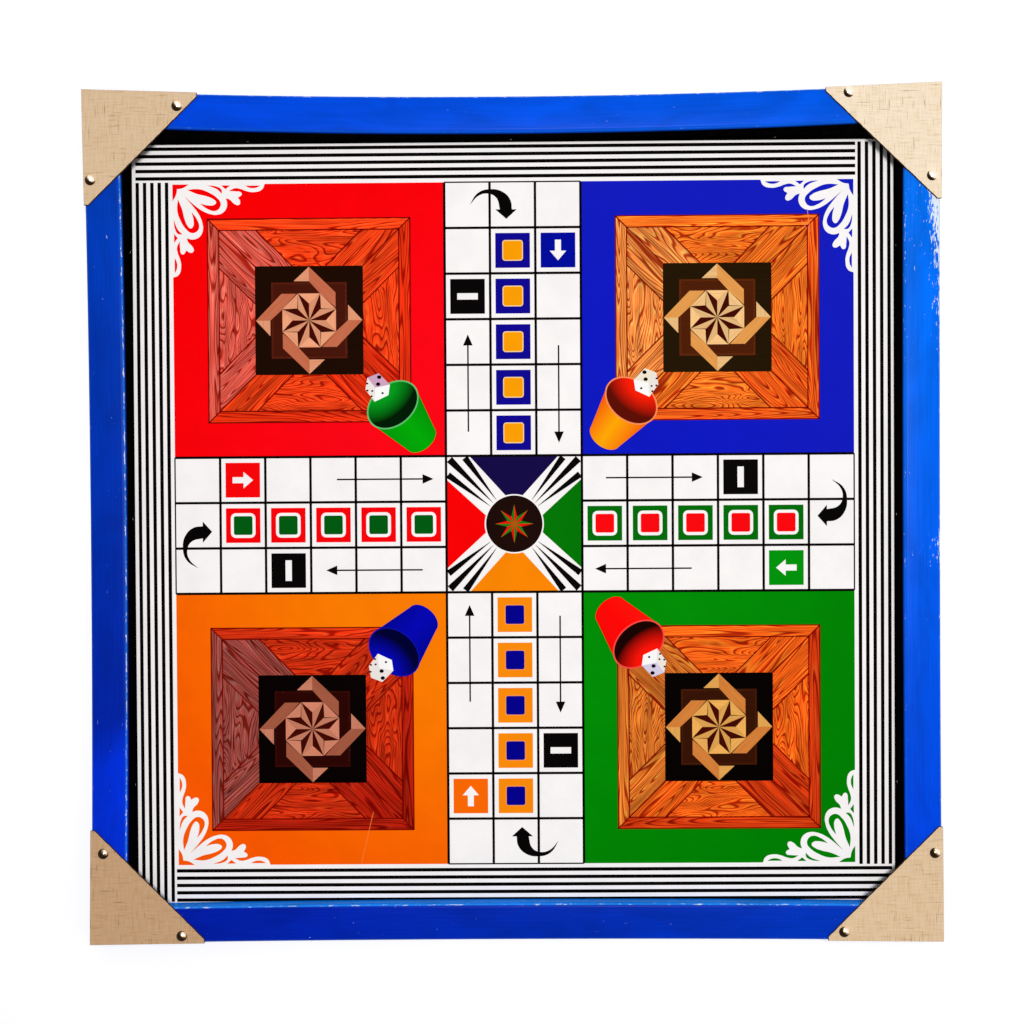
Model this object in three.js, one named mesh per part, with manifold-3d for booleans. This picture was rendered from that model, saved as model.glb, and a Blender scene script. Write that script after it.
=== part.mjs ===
// A framed ludo board: four mitred timber rails around a plywood panel that carries the printed sheet,
// black slips inside three of the rails, a laminate plate tacked over each corner, and the nails and pins.
// Millimetres, +Z up, origin at the middle of the underside. The printed top of the board faces +Y.

import * as THREE from 'three';
import { mergeVertices } from 'three/addons/utils/BufferGeometryUtils.js';
import Module from 'manifold-3d';

const wasm = await Module();
wasm.setup();

// Frame rails
const FRAME_SIDE = 610;
const RAIL_WIDTH = 26.2;
const RAIL_HEIGHT = 16.5;
const OUTER_ARRIS = 2.5;
const INNER_ARRIS = 3;
const REBATE_INSET = 13;
const MITRE_GAP = 0.3;

// How far each rail has bowed inwards at its middle
const BOTTOM_RAIL_BOW = 2;
const RIGHT_RAIL_BOW = 1;
const TOP_RAIL_BOW = 6.5;
const LEFT_RAIL_BOW = 2.5;

// Panel and sheet
const PANEL_THICKNESS = 4;
const SHEET_THICKNESS = 0.4;

// Slips: each has a straight inner face, and a back shaped to its rail. It is thinnest at the middle, where
// the rail has bowed most, and its thickness is given there. The bottom rail has none.
const SLIP_HEIGHT = 9.5;
const RIGHT_SLIP_THICKNESS = 3.1;
const TOP_SLIP_THICKNESS = 2.5;
const LEFT_SLIP_THICKNESS = 2.5;

// Corner plates, with blunt ends on their two sharp corners
const PLATE_LEG = 82;
const PLATE_THICKNESS = 2;
const PLATE_TIP = 3;

// Dome-headed tacks
const TACK_HEAD_DIAMETER = 7.5;
const TACK_HEAD_HEIGHT = 2.6;
const TACK_SHANK_DIAMETER = 2;
const TACK_SHANK_LENGTH = 12;

// Flat-headed nails, driven up through the panel into the rails
const PANEL_NAIL_HEAD = 4.5;
const PANEL_NAIL_HEAD_HEIGHT = 0.8;
const PANEL_NAIL_SHANK = 1.6;
const PANEL_NAIL_BITE = 8;
const PANEL_NAIL_SINK = 0.2;
const PANEL_NAIL_MARGIN = 3;
const PANEL_NAIL_STATIONS = [-0.82, -0.3, 0.3, 0.82];

// Lost-head nails through the mitres, one high and one low at each corner
const CORNER_NAIL_HEAD = 3;
const CORNER_NAIL_HEAD_HEIGHT = 1.2;
const CORNER_NAIL_SHANK = 2;
const CORNER_NAIL_LENGTH = 42;
const CORNER_NAIL_SINK = 0.6;
const CORNER_NAIL_INSET = 9;
const CORNER_NAIL_LOW = 5.5;
const CORNER_NAIL_HIGH = 11;

// Panel pins through the slips
const SLIP_PIN_HEAD = 1.8;
const SLIP_PIN_HEAD_HEIGHT = 0.5;
const SLIP_PIN_SHANK = 1.2;
const SLIP_PIN_LENGTH = 9;
const SLIP_PIN_SINK = 0.2;
const SLIP_PIN_STATIONS = [-0.7, 0, 0.7];

// Clearance around anything that fits in a hole, a rebate or against a bowed face
const FIT_GAP = 0.3;
const DRILL_RUN_OUT = 1;
const NAIL_POINT = 2;

// Facets
const RAIL_STEPS = 12;
const ARRIS_FACETS = 2;
const NAIL_FACETS = 8;
const TACK_FACETS = 12;
const DOME_FACETS = 4;

const HALF = FRAME_SIDE / 2;
const SHEET_TOP = PANEL_THICKNESS + SHEET_THICKNESS;
const SEAT = SHEET_TOP + FIT_GAP;

// The sides in turn, each a quarter turn on from the last: the rail's bow, the slip's thickness and the
// tacks. A tack has its distance from the corner along the rail and its distance in from the rail's outer
// face. They were set by hand, so no two are quite alike.
const SIDES = [
  {
    name: 'bottom',
    bow: BOTTOM_RAIL_BOW,
    slipThickness: null,
    leftTack: [66, 5.5],
    rightTack: [71, 6.5],
  },
  {
    name: 'right',
    bow: RIGHT_RAIL_BOW,
    slipThickness: RIGHT_SLIP_THICKNESS,
    leftTack: [63.5, 6],
    rightTack: [66, 7],
  },
  {
    name: 'top',
    bow: TOP_RAIL_BOW,
    slipThickness: TOP_SLIP_THICKNESS,
    leftTack: [66, 4.4],
    rightTack: [68, 10],
  },
  {
    name: 'left',
    bow: LEFT_RAIL_BOW,
    slipThickness: LEFT_SLIP_THICKNESS,
    leftTack: [64.5, 4.9],
    rightTack: [65.5, 9.3],
  },
];
const CORNER_NAMES = ['bottom_right', 'top_right', 'top_left', 'bottom_left'];

const enamel = new THREE.MeshStandardMaterial({ color: 0x0846d8, roughness: 0.3, metalness: 0 });
const blackPaint = new THREE.MeshStandardMaterial({ color: 0x120c0c, roughness: 0.6, metalness: 0 });
const laminatedPaper = new THREE.MeshStandardMaterial({ color: 0xfaf5f2, roughness: 0.3, metalness: 0 });
const plywood = new THREE.MeshStandardMaterial({ color: 0xc9a46c, roughness: 0.7, metalness: 0 });
const linenLaminate = new THREE.MeshStandardMaterial({ color: 0xdcc29c, roughness: 0.55, metalness: 0 });
const agedNickel = new THREE.MeshStandardMaterial({ color: 0xa08f78, roughness: 0.3, metalness: 1 });
const steel = new THREE.MeshStandardMaterial({ color: 0x8d8f92, roughness: 0.45, metalness: 1 });

// A closed solid from a geometry: only positions are kept, shared points are merged and slivers are dropped.
function solidFrom(geometry) {
  const bare = geometry.clone();
  bare.deleteAttribute('normal');
  bare.deleteAttribute('uv');
  const merged = mergeVertices(bare, 1e-4);
  const triangles = [];
  const index = merged.index.array;
  for (let i = 0; i < index.length; i += 3) {
    const [a, b, c] = [index[i], index[i + 1], index[i + 2]];
    if (a !== b && b !== c && c !== a) {
      triangles.push(a, b, c);
    }
  }
  const vertProperties = new Float32Array(merged.attributes.position.array);
  const triVerts = new Uint32Array(triangles);
  return new wasm.Manifold(new wasm.Mesh({ numProp: 3, vertProperties, triVerts }));
}

function geometryFrom(solid) {
  const mesh = solid.getMesh();
  const geometry = new THREE.BufferGeometry();
  geometry.setAttribute('position', new THREE.BufferAttribute(new Float32Array(mesh.vertProperties), 3));
  geometry.setIndex(new THREE.BufferAttribute(new Uint32Array(mesh.triVerts), 1));
  geometry.computeVertexNormals();
  return geometry;
}

function cutBy(geometry, tools) {
  const cut = tools.reduce((solid, tool) => solid.subtract(solidFrom(tool)), solidFrom(geometry));
  return geometryFrom(cut);
}

function addMesh(group, name, geometry, material) {
  const mesh = new THREE.Mesh(geometry, material);
  mesh.name = name;
  group.add(mesh);
  return mesh;
}

// A point of a side that lies along the bottom of the board: along runs from -1 at the left mitre to 1 at the
// right one, and inset is measured in from the outer face. A bow moves the point towards the middle.
function onSide(bow, along, inset, height) {
  const reach = HALF - inset - MITRE_GAP / Math.SQRT2;
  return new THREE.Vector3(along * reach, inset - HALF + bow * (1 - along ** 2), height);
}

function onRail(side, along, inset, height) {
  return onSide(side.bow, along, inset, height);
}

// A section swept from mitre to mitre: an even extrusion, then bent and mitred point by point.
function bentBar(section, bend) {
  const geometry = new THREE.ExtrudeGeometry(section, {
    depth: 2,
    steps: RAIL_STEPS,
    curveSegments: ARRIS_FACETS,
    bevelEnabled: false,
  });
  const points = geometry.attributes.position;
  for (let i = 0; i < points.count; i += 1) {
    const bent = bend(points.getZ(i) - 1, points.getX(i), points.getY(i));
    points.setXYZ(i, bent.x, bent.y, bent.z);
  }
  return geometry;
}

function railSection() {
  const section = new THREE.Shape();
  section.moveTo(0, 0);
  section.lineTo(REBATE_INSET, 0);
  section.lineTo(REBATE_INSET, SEAT);
  section.lineTo(RAIL_WIDTH, SEAT);
  section.absarc(RAIL_WIDTH - INNER_ARRIS, RAIL_HEIGHT - INNER_ARRIS, INNER_ARRIS, 0, Math.PI / 2);
  section.absarc(OUTER_ARRIS, RAIL_HEIGHT - OUTER_ARRIS, OUTER_ARRIS, Math.PI / 2, Math.PI);
  section.closePath();
  return section;
}

function bowedRail(side) {
  return bentBar(railSection(), (along, inset, height) => onRail(side, along, inset, height));
}

// How far in from the rail's outer face, at its ends, a slip's back and its straight front lie.
const SLIP_BACK = RAIL_WIDTH + FIT_GAP;

function slipFront(side) {
  return SLIP_BACK + side.bow + side.slipThickness;
}

// A slip before it is drilled: straight in front, and bowed as its rail is behind.
function scribedSlip(side) {
  const front = slipFront(side);
  const back = SLIP_BACK;
  const section = new THREE.Shape([
    new THREE.Vector2(back, SEAT),
    new THREE.Vector2(front, SEAT),
    new THREE.Vector2(front, SEAT + SLIP_HEIGHT),
    new THREE.Vector2(back, SEAT + SLIP_HEIGHT),
  ]);
  const middle = (front + back) / 2;
  return bentBar(section, (along, inset, height) => (
    inset < middle ? onRail(side, along, inset, height) : onSide(0, along, front, height)
  ));
}

// A turned shape about Z from [radius, height] pairs that start and end on the axis.
function turnedShape(profile, facets) {
  const points = profile.map(([radius, height]) => new THREE.Vector2(radius, height));
  return new THREE.LatheGeometry(points, facets).rotateX(Math.PI / 2);
}

// A nail with its head at the origin and its point up.
function nailShape(nail) {
  return turnedShape([
    [0, 0],
    [nail.head / 2, 0],
    [nail.head / 2, nail.headHeight],
    [nail.shank / 2, nail.headHeight],
    [nail.shank / 2, nail.length - NAIL_POINT],
    [0, nail.length],
  ], NAIL_FACETS);
}

// The hole that a nail fills, with clearance all round, run out past the face that it is driven through.
function nailHole(nail) {
  const mouth = -nail.sink - DRILL_RUN_OUT;
  return turnedShape([
    [0, mouth],
    [nail.head / 2 + FIT_GAP, mouth],
    [nail.head / 2 + FIT_GAP, nail.headHeight + FIT_GAP],
    [nail.shank / 2 + FIT_GAP, nail.headHeight + FIT_GAP],
    [nail.shank / 2 + FIT_GAP, nail.length + FIT_GAP],
    [0, nail.length + FIT_GAP],
  ], NAIL_FACETS);
}

// A tack with the underside of its dome at the origin and its point down.
function tackShape() {
  const dome = [];
  for (let i = 0; i <= DOME_FACETS; i += 1) {
    const turn = (i / DOME_FACETS) * Math.PI / 2;
    dome.push([Math.cos(turn) * TACK_HEAD_DIAMETER / 2, Math.sin(turn) * TACK_HEAD_HEIGHT]);
  }
  dome[DOME_FACETS][0] = 0;
  return turnedShape([
    [0, -TACK_SHANK_LENGTH],
    [TACK_SHANK_DIAMETER / 2, NAIL_POINT - TACK_SHANK_LENGTH],
    [TACK_SHANK_DIAMETER / 2, 0],
    ...dome,
  ], TACK_FACETS);
}

function tackHole() {
  const radius = TACK_SHANK_DIAMETER / 2 + FIT_GAP;
  return turnedShape([
    [0, -TACK_SHANK_LENGTH - FIT_GAP],
    [radius, -TACK_SHANK_LENGTH - FIT_GAP],
    [radius, DRILL_RUN_OUT],
    [0, DRILL_RUN_OUT],
  ], NAIL_FACETS);
}

const panelNail = {
  head: PANEL_NAIL_HEAD,
  headHeight: PANEL_NAIL_HEAD_HEIGHT,
  shank: PANEL_NAIL_SHANK,
  length: SEAT + PANEL_NAIL_BITE,
  sink: PANEL_NAIL_SINK,
};
const cornerNail = {
  head: CORNER_NAIL_HEAD,
  headHeight: CORNER_NAIL_HEAD_HEIGHT,
  shank: CORNER_NAIL_SHANK,
  length: CORNER_NAIL_LENGTH,
  sink: CORNER_NAIL_SINK,
};
const slipPin = {
  head: SLIP_PIN_HEAD,
  headHeight: SLIP_PIN_HEAD_HEIGHT,
  shank: SLIP_PIN_SHANK,
  length: SLIP_PIN_LENGTH,
  sink: SLIP_PIN_SINK,
};

// Which way a fastener points on a side that lies along the bottom of the board
const UP = new THREE.Euler(0, 0, 0);
const INWARDS = new THREE.Euler(-Math.PI / 2, 0, 0);
const OUTWARDS = new THREE.Euler(Math.PI / 2, 0, 0);

// A shape stood at a place and turned, all in its geometry.
function placed(geometry, place, turn) {
  const quaternion = new THREE.Quaternion().setFromEuler(turn);
  const matrix = new THREE.Matrix4().compose(place, quaternion, new THREE.Vector3(1, 1, 1));
  return geometry.clone().applyMatrix4(matrix);
}

// How far from the middle of the board the panel's edge lies on a side.
function panelReach(side) {
  return HALF - REBATE_INSET - side.bow - FIT_GAP;
}

function panelNailPlaces(side) {
  return PANEL_NAIL_STATIONS.map((along) => {
    const place = onRail(side, along, RAIL_WIDTH, PANEL_NAIL_SINK);
    place.y = PANEL_NAIL_MARGIN - panelReach(side);
    return place;
  });
}

function slipPinPlaces(side) {
  if (side.slipThickness === null) {
    return [];
  }
  const inset = slipFront(side) - SLIP_PIN_SINK;
  return SLIP_PIN_STATIONS.map((along) => onSide(0, along, inset, SEAT + SLIP_HEIGHT / 2));
}

function cornerNailPlaces(side) {
  const along = (HALF - CORNER_NAIL_INSET) / HALF;
  const left = onRail(side, -along, CORNER_NAIL_SINK, CORNER_NAIL_LOW);
  const right = onRail(side, along, CORNER_NAIL_SINK, CORNER_NAIL_HIGH);
  return [left, right];
}

function tackPlace(side, end, [fromCorner, inset]) {
  const along = end * (HALF - fromCorner) / HALF;
  const place = onRail(side, along, inset, RAIL_HEIGHT + PLATE_THICKNESS);
  place.x = end * (HALF - fromCorner);
  return place;
}

function holes(shape, places, turn) {
  return places.map((place) => placed(shape, place, turn));
}

// A shape seen from the next side (quarter turns 1) or the one before (quarter turns -1).
function fromSide(geometry, quarterTurns) {
  return geometry.clone().rotateZ(quarterTurns * Math.PI / 2);
}

function railGeometry(side, previous, next) {
  const tacks = [tackPlace(side, -1, side.leftTack), tackPlace(side, 1, side.rightTack)];
  const nailsFromNeighbours = [
    fromSide(placed(nailHole(cornerNail), cornerNailPlaces(previous)[1], INWARDS), -1),
    fromSide(placed(nailHole(cornerNail), cornerNailPlaces(next)[0], INWARDS), 1),
  ];
  return cutBy(bowedRail(side), [
    ...holes(nailHole(panelNail), panelNailPlaces(side), UP),
    ...holes(nailHole(slipPin), slipPinPlaces(side), OUTWARDS),
    ...holes(nailHole(cornerNail), cornerNailPlaces(side), INWARDS),
    ...holes(tackHole(), tacks, UP),
    ...nailsFromNeighbours,
  ]);
}

function slipGeometry(side) {
  return cutBy(scribedSlip(side), holes(nailHole(slipPin), slipPinPlaces(side), OUTWARDS));
}

// The plate over the right-hand corner of a side: a triangle with its two legs on the rails' outer faces.
function plateGeometry(side, next) {
  const reach = HALF - PLATE_LEG;
  const sideEdge = onRail(side, reach / HALF, 0, 0).y;
  const nextEdge = -onRail(next, reach / HALF, 0, 0).y;
  const outline = new THREE.Shape([
    new THREE.Vector2(HALF, -HALF),
    new THREE.Vector2(nextEdge, -reach),
    new THREE.Vector2(nextEdge - PLATE_TIP, -reach),
    new THREE.Vector2(reach, sideEdge + PLATE_TIP),
    new THREE.Vector2(reach, sideEdge),
  ]);
  const plate = new THREE.ExtrudeGeometry(outline, { depth: PLATE_THICKNESS, bevelEnabled: false });
  plate.translate(0, 0, RAIL_HEIGHT);
  return cutBy(plate, [
    placed(tackHole(), tackPlace(side, 1, side.rightTack), UP),
    fromSide(placed(tackHole(), tackPlace(next, -1, next.leftTack), UP), 1),
  ]);
}

// A flat sheet that fills the rebate, with its bottom at a height and holes for the panel nails.
function sheetGeometry(thickness, bottom) {
  const [low, right, high, left] = SIDES.map(panelReach);
  const sheet = new THREE.BoxGeometry(left + right, low + high, thickness);
  sheet.translate((right - left) / 2, (high - low) / 2, bottom + thickness / 2);
  const drills = SIDES.flatMap((side, quarter) => (
    holes(nailHole(panelNail), panelNailPlaces(side), UP).map((hole) => fromSide(hole, quarter))
  ));
  return cutBy(sheet, drills);
}

function addFasteners(group, name, geometry, places, turn, material) {
  places.forEach((place, i) => {
    const mesh = addMesh(group, `${name}_${i + 1}`, geometry, material);
    mesh.position.copy(place);
    mesh.rotation.copy(turn);
  });
}

function sideGroup(quarter) {
  const side = SIDES[quarter];
  const next = SIDES[(quarter + 1) % SIDES.length];
  const previous = SIDES[(quarter + SIDES.length - 1) % SIDES.length];
  const group = new THREE.Group();
  group.rotation.z = quarter * Math.PI / 2;
  addMesh(group, `${side.name}_rail`, railGeometry(side, previous, next), enamel);
  if (side.slipThickness !== null) {
    addMesh(group, `${side.name}_slip`, slipGeometry(side), blackPaint);
  }
  addMesh(group, `corner_plate_${CORNER_NAMES[quarter]}`, plateGeometry(side, next), linenLaminate);
  const tacks = [tackPlace(side, -1, side.leftTack), tackPlace(side, 1, side.rightTack)];
  const cornerNails = cornerNailPlaces(side);
  addFasteners(group, `plate_tack_${side.name}`, tackShape(), tacks, UP, agedNickel);
  addFasteners(group, `corner_nail_${side.name}`, nailShape(cornerNail), cornerNails, INWARDS, steel);
  addFasteners(group, `panel_nail_${side.name}`, nailShape(panelNail), panelNailPlaces(side), UP, steel);
  addFasteners(group, `slip_pin_${side.name}`, nailShape(slipPin), slipPinPlaces(side), OUTWARDS, steel);
  return group;
}

const board = new THREE.Group();
addMesh(board, 'plywood_panel', sheetGeometry(PANEL_THICKNESS, 0), plywood);
addMesh(board, 'printed_sheet', sheetGeometry(SHEET_THICKNESS, PANEL_THICKNESS), laminatedPaper);
SIDES.forEach((side, quarter) => board.add(sideGroup(quarter)));

export default board;
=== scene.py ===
import math
import random

import bmesh
import bpy
from mathutils import Matrix, Vector


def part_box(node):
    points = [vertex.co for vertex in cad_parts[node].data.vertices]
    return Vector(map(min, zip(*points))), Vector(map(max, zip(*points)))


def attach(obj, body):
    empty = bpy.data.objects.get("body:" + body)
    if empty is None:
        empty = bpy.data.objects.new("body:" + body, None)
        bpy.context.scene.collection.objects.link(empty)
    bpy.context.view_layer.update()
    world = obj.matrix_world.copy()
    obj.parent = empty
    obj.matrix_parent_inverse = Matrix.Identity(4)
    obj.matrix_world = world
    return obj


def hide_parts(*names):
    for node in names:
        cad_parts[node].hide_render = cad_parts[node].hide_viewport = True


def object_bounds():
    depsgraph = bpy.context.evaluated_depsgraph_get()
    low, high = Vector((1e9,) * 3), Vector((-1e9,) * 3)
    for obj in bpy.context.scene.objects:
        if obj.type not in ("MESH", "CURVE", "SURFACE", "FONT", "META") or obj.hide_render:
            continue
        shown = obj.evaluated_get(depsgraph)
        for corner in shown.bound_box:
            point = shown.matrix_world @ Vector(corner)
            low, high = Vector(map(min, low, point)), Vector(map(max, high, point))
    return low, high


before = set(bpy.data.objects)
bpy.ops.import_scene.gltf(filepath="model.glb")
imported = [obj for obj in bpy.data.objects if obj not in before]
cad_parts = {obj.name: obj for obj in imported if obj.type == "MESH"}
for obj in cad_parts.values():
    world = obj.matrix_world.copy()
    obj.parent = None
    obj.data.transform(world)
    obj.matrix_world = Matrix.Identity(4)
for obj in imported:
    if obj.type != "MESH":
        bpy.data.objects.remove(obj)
cad_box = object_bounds()


# Plywood panel
# The back of the board: a 4 mm sheet of three-ply, let into the rebate of the rails and left bare below.
# Its rotary-cut face veneer has a broad wavy figure along X and short dark pores.

MM = 0.001


def linear(hex_colour):
    """An sRGB hex colour as the linear colour that shaders take."""
    channels = [int(hex_colour[i:i + 2], 16) / 255 for i in (1, 3, 5)]
    return [c / 12.92 if c <= 0.04045 else ((c + 0.055) / 1.055) ** 2.4 for c in channels] + [1.0]


def join(tree, node, sockets):
    """Fills or links a node's input sockets, by name or in order. A node stands for its first result."""
    for socket, value in sockets.items() if isinstance(sockets, dict) else enumerate(sockets):
        if isinstance(value, bpy.types.Node):
            value = next(output for output in value.outputs if output.enabled)
        if isinstance(value, bpy.types.NodeSocket):
            tree.links.new(value, node.inputs[socket])
        else:
            node.inputs[socket].default_value = value


def put(tree, kind, sockets=(), stops=(), **settings):
    """Adds a node with its settings, its values and links, and a ramp's colour stops."""
    node = tree.nodes.new("ShaderNode" + kind)
    for name, value in settings.items():
        setattr(node, name, value)
    join(tree, node, sockets)
    for index, (level, colour) in enumerate(stops):
        elements = node.color_ramp.elements
        element = elements[index] if index < len(elements) else elements.new(level)
        element.position = level
        element.color = linear(colour)
    return node


def repeats(size):
    """How often a pattern of a real length and width repeats in a metre."""
    return 1 / size[0], 1 / size[1], 1


def start_material(name, roughness, specular=0.5, metallic=0.0):
    """A new material with its shader, ready for the nodes that give it its pattern."""
    material = bpy.data.materials.new(name)
    material.use_nodes = True
    shader = material.node_tree.nodes["Principled BSDF"]
    looks = {"Roughness": roughness, "Specular IOR Level": specular, "Metallic": metallic}
    join(material.node_tree, shader, looks)
    return material, material.node_tree, shader


def dress(material, *nodes):
    """Gives CAD nodes their finish."""
    for node in nodes:
        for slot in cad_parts[node].material_slots:
            slot.material = material


VENEER_FIGURE = (90 * MM, 11 * MM)
VENEER_PORE = (9 * MM, 0.9 * MM)


def plywood_veneer():
    """Bare birch-faced plywood: matt, pale brown, with darker figure and pores that catch a little relief."""
    material, tree, shader = start_material("birch_plywood_bare", roughness=0.72, specular=0.3)
    place = put(tree, "TexCoord").outputs["Object"]
    wide = put(tree, "Mapping", {"Vector": place, "Scale": repeats(VENEER_FIGURE)})
    figure = put(tree, "TexNoise", {"Vector": wide, "Scale": 1, "Detail": 4, "Distortion": 1.4})
    wood = put(tree, "ValToRGB", [figure], stops=[(0.3, "#b48650"), (0.52, "#cfa56c"), (0.72, "#dfbc88")])
    fine = put(tree, "Mapping", {"Vector": place, "Scale": repeats(VENEER_PORE)})
    pores = put(tree, "TexNoise", {"Vector": fine, "Scale": 1, "Detail": 2})
    dark = put(tree, "MapRange", [pores, 0.3, 0.46, 0.55, 1])
    colour = put(tree, "Mix", {0: 1.0, 6: wood, 7: dark}, data_type="RGBA", blend_type="MULTIPLY")
    relief = put(tree, "Bump", {"Height": dark, "Strength": 0.3, "Distance": 0.1 * MM})
    join(tree, shader, {"Base Color": colour, "Normal": relief})
    return material


dress(plywood_veneer(), "plywood_panel")


# Panel nails
# Sixteen bright steel nails, four to a side, driven up through the panel into the rails.
# Their flat heads lie just under the plywood's face, a little spotted with rust.

SIDES = ["bottom", "right", "top", "left"]
RUST_SPOT = 1.2 * MM


def drawn_steel():
    """Drawn steel wire: bright grey metal with small brown rust spots that dull it."""
    material, tree, shader = start_material("drawn_steel", roughness=0.38, metallic=1.0)
    place = put(tree, "TexCoord").outputs["Object"]
    spots = put(tree, "TexNoise", {"Vector": place, "Scale": 1 / RUST_SPOT, "Detail": 3})
    colour = put(tree, "ValToRGB", [spots], stops=[(0.5, "#a3a5a8"), (0.66, "#8a7461"), (0.74, "#6b4429")])
    dull = put(tree, "MapRange", [spots, 0.5, 0.74, 0.32, 0.75])
    join(tree, shader, {"Base Color": colour, "Roughness": dull})
    return material


steel = drawn_steel()
for side in SIDES:
    dress(steel, *(f"panel_nail_{side}_{index}" for index in (1, 2, 3, 4)))


# Printed sheet
# A colour print on heavy paper, sealed under clear film and glued to the panel.
# The bare paper is this node, and each ink lies on it as a piece of its own.

WHITE = "#fdf9f8"
MOTTLE = 22 * MM
INK_THIN = 0.95
FALLOFF_RUN = (140 * MM, 300 * MM)
FILM_RIPPLE = 35 * MM
FILM_ROUGHNESS = 0.5
FILM_SPECULAR = 0.006


def film_print(name, colour, painted_falloff=None):
    """Printed paper under clear film that ripples a little: ink with a faint cloudiness, all of one colour
    or shading off to a second colour away from the middle of the board, as painted light falloff."""
    material, tree, shader = start_material(name, FILM_ROUGHNESS, FILM_SPECULAR)
    place = put(tree, "TexCoord").outputs["Object"]
    away = put(tree, "VectorMath", [place], operation="LENGTH")
    # The ink runs to its second colour away from the middle of the board: painted light falloff.
    share = put(tree, "MapRange", [away, *FALLOFF_RUN])
    plain = put(tree, "Mix", {0: share, 6: linear(colour), 7: linear(painted_falloff or colour)}, data_type="RGBA")
    cloud = put(tree, "TexNoise", {"Vector": place, "Scale": 1 / MOTTLE, "Detail": 3, "Roughness": 0.6})
    depth = put(tree, "MapRange", [cloud, 0.35, 0.62, INK_THIN, 1])
    ink = put(tree, "VectorMath", {0: plain, "Scale": depth}, operation="SCALE")
    ripple = put(tree, "TexNoise", {"Vector": place, "Scale": 1 / FILM_RIPPLE, "Detail": 1})
    relief = put(tree, "Bump", {"Height": ripple, "Strength": 0.08, "Distance": 0.4 * MM})
    join(tree, shader, {"Base Color": ink, "Normal": relief})
    return material


dress(film_print("paper_under_film", WHITE), "printed_sheet")


# Coloured bases
# The four corner yards of the game, six cells each way, printed in solid orange, green, blue and red.
# Each ink is a thin closed skin from inside the sheet up to its layer, one above the ink that it covers.

SHEET_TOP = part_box("printed_sheet")[1].z
INK = 0.03 * MM
PRINT_X, PRINT_Y = 0.7, -5.05
PRINT_WIDTH, PRINT_HEIGHT = 0.9903, 0.9944
CELL = 33.0
FIELD = 7.5 * CELL
BASE = 6 * CELL
BASE_MIDDLE = FIELD - BASE / 2


def make_piece(mesh, name, slot, *materials, replaced=()):
    """Closes a bmesh into a named piece that rides on the board's one body."""
    bmesh.ops.recalc_face_normals(mesh, faces=mesh.faces)
    data = bpy.data.meshes.new(name)
    mesh.to_mesh(data)
    mesh.free()
    for material in materials:
        data.materials.append(material)
    piece = bpy.data.objects.new(name, data)
    bpy.context.collection.objects.link(piece)
    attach(piece, "root")
    if replaced:
        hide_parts(*replaced)
    return piece


def spot(x, y):
    """A place on the print's drawing, in millimetres from its middle, as a place on the board in metres."""
    return (x * PRINT_WIDTH + PRINT_X) * MM, (y * PRINT_HEIGHT + PRINT_Y) * MM


def pull(mesh, face, away):
    """Extrudes a face by a vector, and gives the face that moved."""
    grown = bmesh.ops.extrude_face_region(mesh, geom=[face])["geom"]
    tips = [item for item in grown if isinstance(item, bmesh.types.BMVert)]
    bmesh.ops.translate(mesh, verts=tips, vec=away)
    return next(item for item in grown if isinstance(item, bmesh.types.BMFace))


def lay(mesh, outline, layer):
    """Adds one inked area, from an outline in print millimetres, and gives its top face."""
    corners = [mesh.verts.new((*spot(x, y), SHEET_TOP - INK)) for x, y in outline]
    return pull(mesh, mesh.faces.new(corners), (0, 0, (layer + 1) * INK))


def print_areas(name, material, outlines, layer):
    """One piece from all the areas of one ink in one layer."""
    mesh = bmesh.new()
    for outline in outlines:
        lay(mesh, outline, layer)
    make_piece(mesh, name, "laminated_print", material)


def turned(outline, quarter):
    """An outline turned about the middle of the print, anticlockwise, by quarter turns."""
    cos, sin = ((1, 0), (0, 1), (-1, 0), (0, -1))[quarter]
    return [(x * cos - y * sin, x * sin + y * cos, *sharp) for x, y, *sharp in outline]


def rectangle(x, y, width, height):
    """The outline of a rectangle about a point."""
    return [(x - width / 2, y - height / 2), (x + width / 2, y - height / 2),
            (x + width / 2, y + height / 2), (x - width / 2, y + height / 2)]


# Each base ink shades off to a second colour towards the board's edges: painted light falloff.
BASE_INKS = {
    "orange": film_print("orange_ink_under_film", "#ff7e00", painted_falloff="#ff5a00"),
    "green": film_print("green_ink_under_film", "#008e04", painted_falloff="#007f02"),
    "blue": film_print("blue_ink_under_film", "#0c18c2", painted_falloff="#141cbe"),
    "red": film_print("red_ink_under_film", "#ff0414", painted_falloff="#ff0003"),
}
yard = rectangle(-BASE_MIDDLE, -BASE_MIDDLE, BASE, BASE)
for quarter, (colour, ink) in enumerate(BASE_INKS.items()):
    print_areas(f"{colour}_base", ink, [turned(yard, quarter)], 1)


# Black line work
# Five fine stripes round the print, the cell lines of the track, and the arrows that show the way of play.
# All are one black ink. Each corner of the stripes is a pinwheel: a side's stripes end at the next side's.

HOME = 1.5 * CELL
STRIPES = 5
STRIPE_PITCH = 5.35
STRIPE_WIDTH = 2.5
STRIPE_OUTER = 274.4
GRID_LINE = 1.8
END_LINE = 1.0
ARROW_LENGTH = 70.5
ARROW_SHAFT = 1.1
ARROW_HEAD = (8.0, 7.0)
ARROW_IN_TIP = 9.2
ARROW_OUT_TAIL = 17.5

black_ink = film_print("black_ink_under_film", "#050303")


def all_round(outlines):
    """Outlines repeated on the four sides of the print."""
    return [turned(outline, quarter) for outline in outlines for quarter in range(4)]


def stroke(start, end, width):
    """The outline of a straight line of a given width."""
    (x0, y0), (x1, y1) = start, end
    length = math.hypot(x1 - x0, y1 - y0)
    across_x = (y0 - y1) / length * width / 2
    across_y = (x1 - x0) / length * width / 2
    return [(x0 + across_x, y0 + across_y), (x0 - across_x, y0 - across_y),
            (x1 - across_x, y1 - across_y), (x1 + across_x, y1 + across_y)]


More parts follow.
